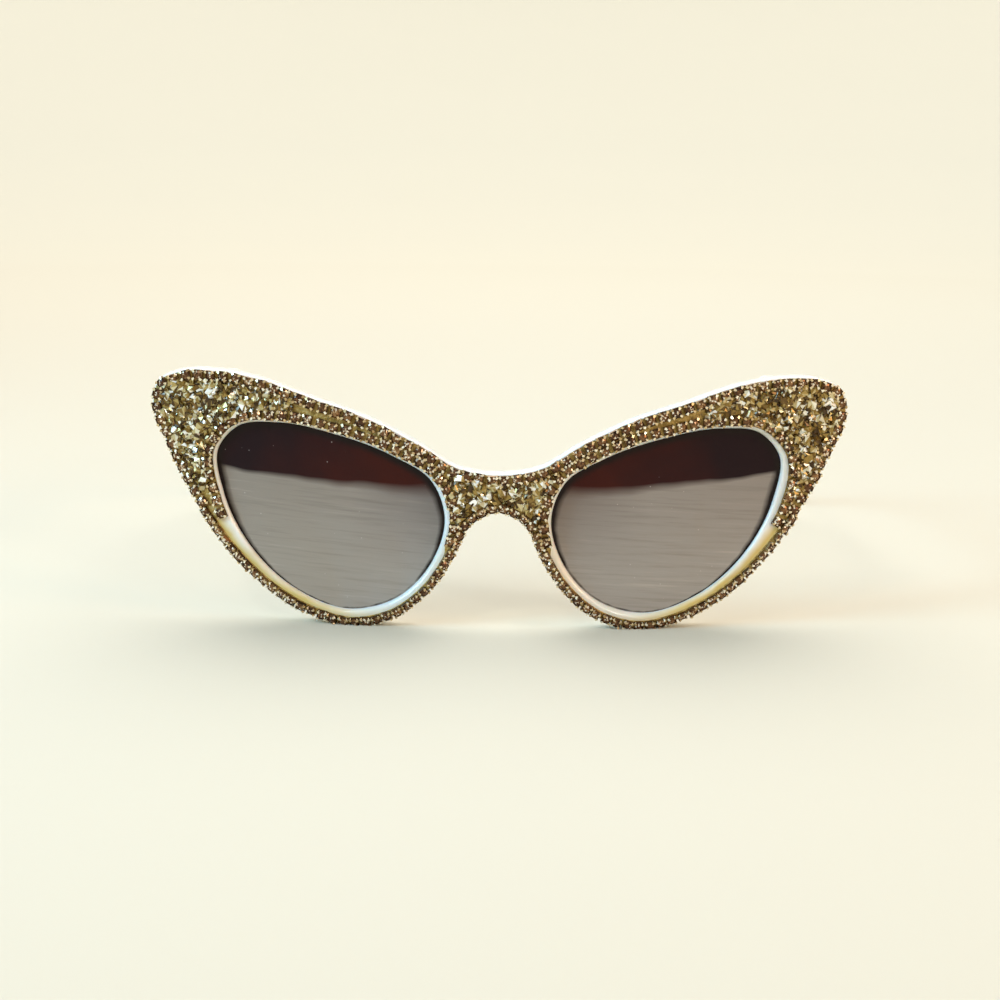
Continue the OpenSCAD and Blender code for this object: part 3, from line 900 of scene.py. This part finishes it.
stoneLook = {
    # brown stone tones; the palest stops are used for painted glints
    "stops": [
        (0.0, (46, 28, 17)), (0.28, (92, 60, 36)), (0.55, (140, 102, 66)), (0.72, (176, 138, 96)),
        (0.85, (222, 198, 164)), (1.0, (255, 250, 240)),
    ],
    "finish": {"rough": 0.12, "specular": 0.5, "metal": 0.55},
    "paintedGlintShare": 0.15,             # share of facets with a painted glint
}
cupLook = {
    # dark brass tones for the cup walls; the pale stops are painted highlights on the prongs
    "stops": [
        (0.0, (50, 32, 15)), (0.3, (104, 74, 36)), (0.55, (162, 126, 74)), (0.78, (230, 208, 164)),
        (1.0, (255, 250, 234)),
    ],
    "worn": (900, 3, 0.16, 0.34), "finish": {"metal": 0.7, "specular": 0.5},
    "prongs": 18,               # faces of a cup before its prongs begin
}


metalGrain = {"grain": 400, "smooth": 0.22, "worn": 0.38, "metal": 0.95}


# three tones of one metal in patches, with worn patches in its gloss and a fine grain
def metalMaterial(name, look):
    material, shader = newMaterial(name)
    space = objectSpace(material)
    scale = metalGrain["grain"]
    colour = tones(material, noise(material, space, scale, 4, 0.6), [
        (0.32, look["dark"]), (0.5, look["middle"]), (0.72, look["pale"])])
    link(material, colour, shader.inputs["Base Color"])
    worn(material, shader, space, scale * 0.5, 3, metalGrain["smooth"], metalGrain["worn"])
    bump(material, shader, noise(material, space, scale * 2, 3), 0.15, 0.0001)
    setShader(shader, metal=metalGrain["metal"], specular=0.6)
    return material


# places and directions at given lengths along a path
def chainStations(path, starts):
    here, after = atLengths(path, starts), atLengths(path, starts + 0.2)
    slope = after - here
    return here, slope / np.linalg.norm(slope, axis=1, keepdims=True)


# one run of chain on both sides: its cups, its stones and a stored value for every facet, a tone
# with painted glints
def buildChain(name, stations, width, materials, depth, lean=0.0):
    for side in ("left", "right"):
        here, slope = stations[side]
        count = len(here)
        base = onWrap(here, -depth)
        frames = seatFrames(here[:, 0], slope, lean) @ jitter(count, chain["turn"], chain["tilt"])
        sizes = width * (1 + rng.normal(0, chain["grow"], count)).clip(0.9, 1.06)
        cups, cupFaces = scattered(cupShape(), base, frames, sizes)
        seat = base + frames[:, :, 2] * (chain["cupHeight"] * 0.3)
        stones, stoneFaces = scattered(stoneShape(), seat, frames, sizes * 0.93)
        if side == "right":
            cups, stones = mirroredX(cups), mirroredX(stones)
        end = side.capitalize()
        cup = makePiece(name + "Cups" + end, cups, cupFaces, smooth=False, merge=0)
        stone = makePiece(name + "Stones" + end, stones, stoneFaces, smooth=False, merge=0)
        # cup walls take random dark brass tones; prongs are painted pale as highlights
        metal = rng.uniform(0.05, 0.42, len(cupFaces))
        prong = np.arange(len(cupFaces)) % (len(cupFaces) // count) >= cupLook["prongs"]
        addValues(cup, "toneAndPaintedGlint", np.where(prong, rng.uniform(0.6, 1.0, len(cupFaces)), metal))
        # each stone's own brown tone, spread facet by facet as painted light and dark, and some
        # facets painted as glints
        toneAndPaintedGlint = np.repeat(rng.uniform(0.18, 0.5, count), len(stoneFaces) // count)
        toneAndPaintedGlint = (toneAndPaintedGlint + rng.normal(0, 0.11, len(toneAndPaintedGlint))).clip(0, 0.8)
        paintedGlint = rng.random(len(stoneFaces)) < stoneLook["paintedGlintShare"]
        addValues(stone, "toneAndPaintedGlint", np.where(paintedGlint, rng.uniform(0.8, 1, len(toneAndPaintedGlint)), toneAndPaintedGlint))
        for piece, material, part, slot in ((cup, materials[0], "cups", "cup_metal"),
                                            (stone, materials[1], "stones", "amber_stone")):
            wear(piece, material)
            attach(piece, "front")
            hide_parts("%s_chain_%s_%s" % (name, part, side))


# the three runs; the rim's fills what the brow's leaves of the edge, the eye's ends at its own marks
def buildChains():
    materials = (shadedMaterial("cupMetal", cupLook), shadedMaterial("amberStone", stoneLook))
    c = chain
    browPath, rimPath = fromOutline(c["browInset"]), fromOutline(c["rimInset"])
    brow = chainStations(browPath, c["browGap"] + c["browPitch"] * np.arange(c["browCups"]))
    rimStart = runOf(rimPath)[np.argmin(np.linalg.norm(rimPath - brow[0][-1], axis=1))] + c["rimGap"]
    room = runOf(rimPath)[-1] - rimStart - c["browGap"]
    rimCount = int(room / c["rimPitch"]) + 1
    rim = chainStations(rimPath, rimStart + room * np.arange(rimCount) / (rimCount - 1))
    eye = {}
    for side, lip in lips.items():
        loop = fromAperture(c["eyeInset"] + lipAt(aperture, lip))
        loop = np.vstack([loop, loop[:1]])
        last = np.argmin(np.linalg.norm(loop - np.array(c["eyeLast"]) * stretch, axis=1))
        room = runOf(loop)[last] - c["eyeStart"]
        count = int(room / c["eyePitch"]) + 1
        eye[side] = chainStations(loop, c["eyeStart"] + room * np.arange(count) / (count - 1))
    brow = {"left": brow, "right": brow}
    rim = {"left": rim, "right": rim}
    buildChain("brow", brow, c["cup"], materials, c["lift"])
    buildChain("rim", rim, c["rimCup"], materials, -c["rimSink"], c["rimLean"])
    buildChain("eye", eye, c["cup"], materials, c["lift"])
    print("chains done:", c["browCups"], "brow,", rimCount, "rim and", count, "eye cups a side")


buildChains()

crystals = {
    "gap": 2.1,                 # least distance from the front's edge
    # where the plastic is narrower than this there are only chains and glue
    "band": 7.2, "bridgeBand": 4.9, "bridgeHalf": 14,
    "spacing": 0.95, "across": (0.4, 76), "up": (16, 55),
    # paintedSparkle: how far each facet's painted light or dark strays from its chip's tone
    "paintedSparkle": 0.22, "chipFaces": 12,
    # height, width, share kept, least tone; the top layer's high least tone paints its chips as
    # bright glints
    "layers": [(0.25, 1.3, 0.95, 0.0), (0.55, 1.15, 0.6, 0.0), (0.72, 1.4, 0.05, 0.5)],
    # smoky to clear chip tones; the palest stops serve as painted glints
    "stops": [
        (0.0, (64, 45, 19)), (0.2, (108, 81, 33)), (0.4, (152, 124, 60)), (0.56, (178, 156, 96)),
        (0.7, (206, 193, 152)), (0.84, (240, 236, 216)), (1.0, (255, 255, 252)),
    ],
    "finish": {"rough": 0.08, "specular": 0.6, "metal": 0.4},
}


# places for loose chips: a shaken grid between the chains
def chipPlaces(spacing, margin):
    across, up = np.arange(*crystals["across"], spacing), np.arange(*crystals["up"], spacing * 0.87)
    gx, gz = np.meshgrid(across, up)
    gx = gx + (np.arange(len(gx)) % 2)[:, None] * spacing / 2
    points = np.stack([gx.ravel(), gz.ravel()], 1) + rng.uniform(-0.28, 0.28, (gx.size, 2)) * spacing
    points = points[inside(points, halfOutline)]
    points = points[~inside(points, aperture) & ~inside(points, bareBorder)]
    fromOut, fromEye = clearance(points, halfOutline), clearance(points, aperture)
    band = np.where(points[:, 0] < crystals["bridgeHalf"], crystals["bridgeBand"], crystals["band"])
    far = (fromOut > margin) & (fromEye > margin + 0.5) & (fromOut + fromEye > band)
    return points[far]


# a chip: a cube of unit width whose corners are pushed about, different for every chip
def chipMesh(places, heights, widths):
    count = len(places)
    corners = np.array([[x, y, z] for x in (-0.5, 0.5) for y in (-0.5, 0.5) for z in (-0.5, 0.5)])
    corners = corners[None] + rng.uniform(-0.2, 0.2, (count, 8, 3))
    corners *= rng.uniform(0.65, 1.15, (count, 1, 3)) * widths[:, None, None]
    spin = jitter(count, 3.0, 0.6)
    frames = seatFrames(places[:, 0], np.tile([1.0, 0.0], (count, 1)))
    local = np.einsum("nij,nvj->nvi", spin, corners)
    local[..., 2] = local[..., 2].clip(-0.5, 0.62)
    turned = np.einsum("nij,nvj->nvi", frames, local)
    origin = onWrap(places, -heights)
    quads = [[0, 1, 3, 2], [4, 6, 7, 5], [0, 4, 5, 1], [2, 3, 7, 6], [0, 2, 6, 4], [1, 5, 7, 3]]
    tris = np.array([t for q in quads for t in ((q[0], q[1], q[2]), (q[0], q[2], q[3]))])
    faces = (tris[None] + (np.arange(count) * 8)[:, None, None]).reshape(-1, 3)
    return (turned + origin[:, None]).reshape(-1, 3), faces


# layers of smoky to clear chips over both wings and the bridge, the few highest ones the palest as
# painted glints
def buildCrystals():
    material = shadedMaterial("crushedCrystal", crystals)
    c = crystals
    groups = {"wing_crystals_left": [], "wing_crystals_right": [], "bridge_crystals": []}
    tonesAndGlints = {key: [] for key in groups}
    for height, width, share, least in c["layers"]:
        for side, flip in (("left", 1), ("right", -1)):
            points = chipPlaces(c["spacing"], c["gap"])
            points = points[rng.random(len(points)) < share]
            middle = points[:, 0] < c["bridgeHalf"]
            split = (("wing_crystals_" + side, points[~middle]), ("bridge_crystals", points[middle]))
            for key, chosen in split:
                count = len(chosen)
                if not count:
                    continue
                heights = height + rng.uniform(-0.08, 0.08, count)
                verts, faces = chipMesh(chosen, heights, width * rng.uniform(0.7, 1.15, count))
                groups[key].append((verts * [flip, 1, 1], faces))
                chip = np.repeat(least + (1 - least) * rng.beta(1.0, 1.75, count), c["chipFaces"])
                # painted sparkle: each facet's tone shaken apart, standing in for light and dark
                # reflections
                tonesAndGlints[key].append((chip + rng.normal(0, c["paintedSparkle"], len(chip))).clip(0, 1))
    names = {"wing_crystals_left": "wingLeftChips", "wing_crystals_right": "wingRightChips",
             "bridge_crystals": "bridgeChips"}
    for node, parts in groups.items():
        verts, faces = joined(parts)
        piece = makePiece(names[node], verts, faces, smooth=False, merge=0)
        addValues(piece, "toneAndPaintedGlint", np.concatenate(tonesAndGlints[node]))
        wear(piece, material)
        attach(piece, "front")
        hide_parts(node)
        print(node, "done:", len(faces), "faces")


buildCrystals()

pads = {
    # x, distance behind the front's foremost point, height, radius
    "balls": [
        (9.4, 5.5, 22, 1.5), (12.9, 5.5, 13.2, 1.5), (10.2, 9.5, 20.5, 1.2), (13.6, 10.5, 13, 1.4),
    ],
    "skin": 0.02,               # how much smaller than the solid
    "cool": (236, 236, 232), "warm": (246, 240, 230), "cloud": (60, 3, 0.1),
    "worn": (400, 4, 0.28, 0.45), "finish": {"scatter": 0.2},
}


# ivory pads: the tight skin (convex hull) round four balls of points
def buildPads():
    material = cloudedPlastic("padPlastic", pads)
    u = np.linspace(0, 2 * np.pi, 24, endpoint=False)[None, :]
    v = np.linspace(0.08, np.pi - 0.08, 13)[:, None]
    ball = np.stack([np.cos(u) * np.sin(v), np.sin(u) * np.sin(v), np.cos(v) + 0 * u], -1)
    ball = ball.reshape(-1, 3)
    cloud = np.vstack([np.array([x, frontY + behind, z]) + ball * (r - pads["skin"])
                       for x, behind, z, r in pads["balls"]])
    for side, points in bothSides(cloud):
        mesh = bpy.data.meshes.new("nosePad" + side.capitalize())
        mesh.from_pydata((points * mm).tolist(), [], [])
        bm = bmesh.new()
        bm.from_mesh(mesh)
        hull = bmesh.ops.convex_hull(bm, input=bm.verts)
        hidden = [g for g in hull["geom_interior"] if isinstance(g, bmesh.types.BMVert)]
        bmesh.ops.delete(bm, geom=hidden, context="VERTS")
        bmesh.ops.recalc_face_normals(bm, faces=bm.faces)
        bm.to_mesh(mesh)
        bm.free()
        mesh.shade_smooth()
        mesh.set_sharp_from_angle(angle=radians(50))
        piece = shown(mesh)
        wear(piece, material)
        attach(piece, "front")
        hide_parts("nose_pad_" + side)
    print("nose pads done")


buildPads()

temple = {
    # behind the hinge, height of the middle line, half height
    "line": [(0.1, 45.011, 4.5), (28.16, 44.111, 3.6), (58.88, 41.811, 2.9), (84.48, 38.211, 2.7),
             (101.12, 31.011, 2.8), (113.92, 19.011, 3), (125, 3, 3)],
    "halfThick": 1.8,
    "round": 1.2,
    "startRound": 0.35,         # the cut corner of the end at the hinge
    "tipRound": 0.75,           # how much the tip thins, as a share of half its thickness
    # white plastic like the front's, a little creamier
    "cool": (230, 231, 230), "warm": (242, 233, 221), "cloud": (22, 4, 0.12),
    "worn": (220, 5, 0.16, 0.32), "grain": 800,
    "finish": {"coat": 0.3, "coatRough": 0.08, "scatter": 0.1},
}


# one rounded section at each point of the middle line, shrinking along a half circle at the tip
def templeSurface():
    t = temple
    low, high = [np.array(v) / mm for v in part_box("temple_left")]
    middle = (low[0] + high[0]) / 2
    line = openCurve(t["line"], 8)
    along = np.gradient(line[:, :2], axis=0)
    along /= np.linalg.norm(along, axis=1, keepdims=True)
    along[0] = (1, 0)
    rise = np.stack([-along[:, 1], along[:, 0]], 1)
    # centre, upward direction, half height, how much thinner than the middle
    spots = [(line[i, :2], rise[i], line[i, 2], 0.0) for i in range(len(line))]
    corner = t["startRound"]
    spots[0] = (line[0, :2] + along[0] * corner, rise[0], line[0, 2], 0.0)
    spots.insert(0, (line[0, :2], rise[0], line[0, 2] - corner, corner))
    tip, tipHigh = line[-1, :2], line[-1, 2]
    for a in np.linspace(0.12, np.pi / 2 - 0.05, 8):
        shrink = (1 - np.cos(a)) * t["halfThick"] * t["tipRound"]
        spots.append((tip + along[-1] * tipHigh * np.sin(a), rise[-1], tipHigh * np.cos(a), shrink))
    rings = []
    for centre, up, half, cut in spots:
        wide = t["halfThick"] - cut
        loop = roundRect(wide, half, min(t["round"], half * 0.95, wide * 0.8))
        place = np.array([hinge["axis"][1], 0]) + centre + loop[:, 1:] * up
        rings.append(np.column_stack([middle + loop[:, 0], place]))
    verts, faces = loft(np.array(rings))
    return verts.clip(low + 0.01, high - 0.01), faces


# one temple a side, each on its own body
def buildTemples():
    material = cloudedPlastic("templePlastic", temple)
    verts, faces = templeSurface()
    for side, points in bothSides(verts):
        piece = makePiece("temple" + side.capitalize(), points, faces, sharpAngle=50)
        wear(piece, material)
        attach(piece, side + "_temple")
        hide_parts("temple_" + side)
    print("temples done")


buildTemples()

hingeBrass = {"dark": (120, 92, 46), "middle": (186, 152, 88), "pale": (222, 198, 142)}
rivetBrass = {"dark": (112, 86, 44), "middle": (190, 158, 96), "pale": (226, 204, 150)}
screwSteel = {"dark": (96, 98, 100), "middle": (150, 152, 154), "pale": (196, 198, 200)}
metals = {
    "front_hinge": (hingeBrass, "hinge_brass"),
    "temple_hinge": (hingeBrass, "hinge_brass"),
    "temple_rivets": (rivetBrass, "hinge_brass"),
    "hinge_screw": (screwSteel, "screw_steel"),
    "temple_core": (screwSteel, "screw_steel"),
}


# the metal parts keep the solid model's shapes and take a metal each
def dressMetals():
    for part, (look, slot) in metals.items():
        material = metalMaterial(part.replace("_", "") + "Metal", look)
        for side in ("left", "right"):
            node = bpy.data.objects[part + "_" + side]
            wear(node, material)
    print("metals dressed")


dressMetals()

studio = {
    "inner": [0.002, 0.3, 0.6], "flat": 0.9, "reach": 1.7, "rise": 1.3, "curl": 0.45 * np.pi,
    "steps": 14, "sides": 96,
    # how light the dish is at each distance from its middle, in metres
    "tone": [(0.0, 0.592), (0.6, 0.592), (0.85, 0.585), (1.15, 0.605), (1.45, 0.655), (1.7, 0.71)],
    "creamNear": (1.0, 0.945, 0.775), "creamFar": (1.0, 0.965, 0.81), "creamEdge": 0.9,
    "world": (246, 248, 255), "worldStrength": 0.41,
    "spread": {"coolSide": 60, "warmSide": 60},
    "aimHeight": 0.03,
    # name: place, size, watts, colour, all aimed at the middle of the front
    "lamps": {
        "overhead": ((0.0, 0.75, 1.1), 1.55, 23.9, (255, 253, 250)),
        "coolSide": ((-0.9, -0.45, 0.55), 0.5, 1.6, (160, 214, 246)),
        "warmSide": ((0.9, -0.45, 0.5), 0.5, 0.6, (255, 206, 162)),
        "sparkLeft": ((-0.3, -0.7, 0.75), 0.1, 1.2, (255, 252, 246)),
        "sparkRight": ((0.45, -0.8, 0.4), 0.1, 1.2, (255, 246, 232)),
    },
}


# a round dish: flat to the radius "flat", then rising on a quarter circle
def buildStage():
    a = np.linspace(0, studio["curl"], studio["steps"])
    bend = studio["reach"] - studio["flat"]
    sides = studio["sides"]
    inner = np.array(studio["inner"])
    radii = np.concatenate([inner, studio["flat"] + np.sin(a) * bend])
    heights = np.concatenate([inner * 0, (1 - np.cos(a)) * studio["rise"]])
    turn = np.linspace(0, 2 * np.pi, sides, endpoint=False)
    grid = np.stack([
        radii[:, None] * np.cos(turn), radii[:, None] * np.sin(turn),
        np.broadcast_to(heights[:, None], (len(radii), sides)) - 1e-5,
    ], -1) / mm
    faces = gridFaces(len(radii), sides, wrapCols=True).tolist() + [list(range(sides))]
    floor = makePiece("studioFloor", grid.reshape(-1, 3), faces, merge=0, recalc=False, held=False)
    material, shader = newMaterial("studioCream")
    size = addNode(material, "ShaderNodeVectorMath", operation="LENGTH")
    link(material, objectSpace(material), size.inputs[0])
    far = remap(material, size.outputs["Value"], 0, 1, 0, studio["reach"])
    stops = []
    for r, tone in studio["tone"]:
        cream = studio["creamNear" if r < studio["creamEdge"] else "creamFar"]
        stops.append((r / studio["reach"], tuple(tone * c for c in cream)))
    link(material, ramp(material, far, stops), shader.inputs["Base Color"])
    setShader(shader, rough=0.8, specular=0.1)
    wear(floor, material)


# the square lamps turned to the front, the pale room round them and a plain view of the colours
def buildLights():
    for name, (place, size, watts, colour) in studio["lamps"].items():
        data = bpy.data.lights.new(name, "AREA")
        data.size = size
        data.spread = radians(studio["spread"].get(name, 180))
        data.energy = watts
        data.color = tint(*colour)
        lamp = shown(data)
        lamp.location = place
        way = Vector((0, frontY * mm, studio["aimHeight"])) - Vector(place)
        lamp.rotation_euler = way.to_track_quat("-Z", "Y").to_euler()
    world = bpy.data.worlds.new("paleRoom")
    world.use_nodes = True
    sky = world.node_tree.nodes["Background"]
    sky.inputs["Color"].default_value = (*tint(*studio["world"]), 1)
    sky.inputs["Strength"].default_value = studio["worldStrength"]
    bpy.context.scene.world = world
    bpy.context.scene.view_settings.view_transform = "Standard"


camera = {
    "lens": 76.4, "distance": 0.45, "elevation": radians(11), "roll": radians(0.8),
    "target": (0.00038, frontY * mm, 0.02817),
}


# looks along +Y and down by "elevation"; "roll" turns the picture clockwise
def buildCamera():
    c = camera
    data = bpy.data.cameras.new("viewer")
    data.lens = c["lens"]
    data.sensor_width = 36
    data.clip_start = 0.01
    cam = shown(data)
    e, r = c["elevation"], c["roll"]
    back = np.array([0, -np.cos(e), np.sin(e)])
    right, up = np.array([1.0, 0, 0]), np.array([0, np.sin(e), np.cos(e)])
    across, rise = right * np.cos(r) + up * np.sin(r), -right * np.sin(r) + up * np.cos(r)
    turn = Matrix(np.stack([across, rise, back], 1).tolist()).to_4x4()
    cam.matrix_world = Matrix.Translation(Vector(c["target"]) + Vector(back) * c["distance"]) @ turn
    bpy.context.scene.camera = cam


buildStage()
buildLights()
buildCamera()
print("studio ready")
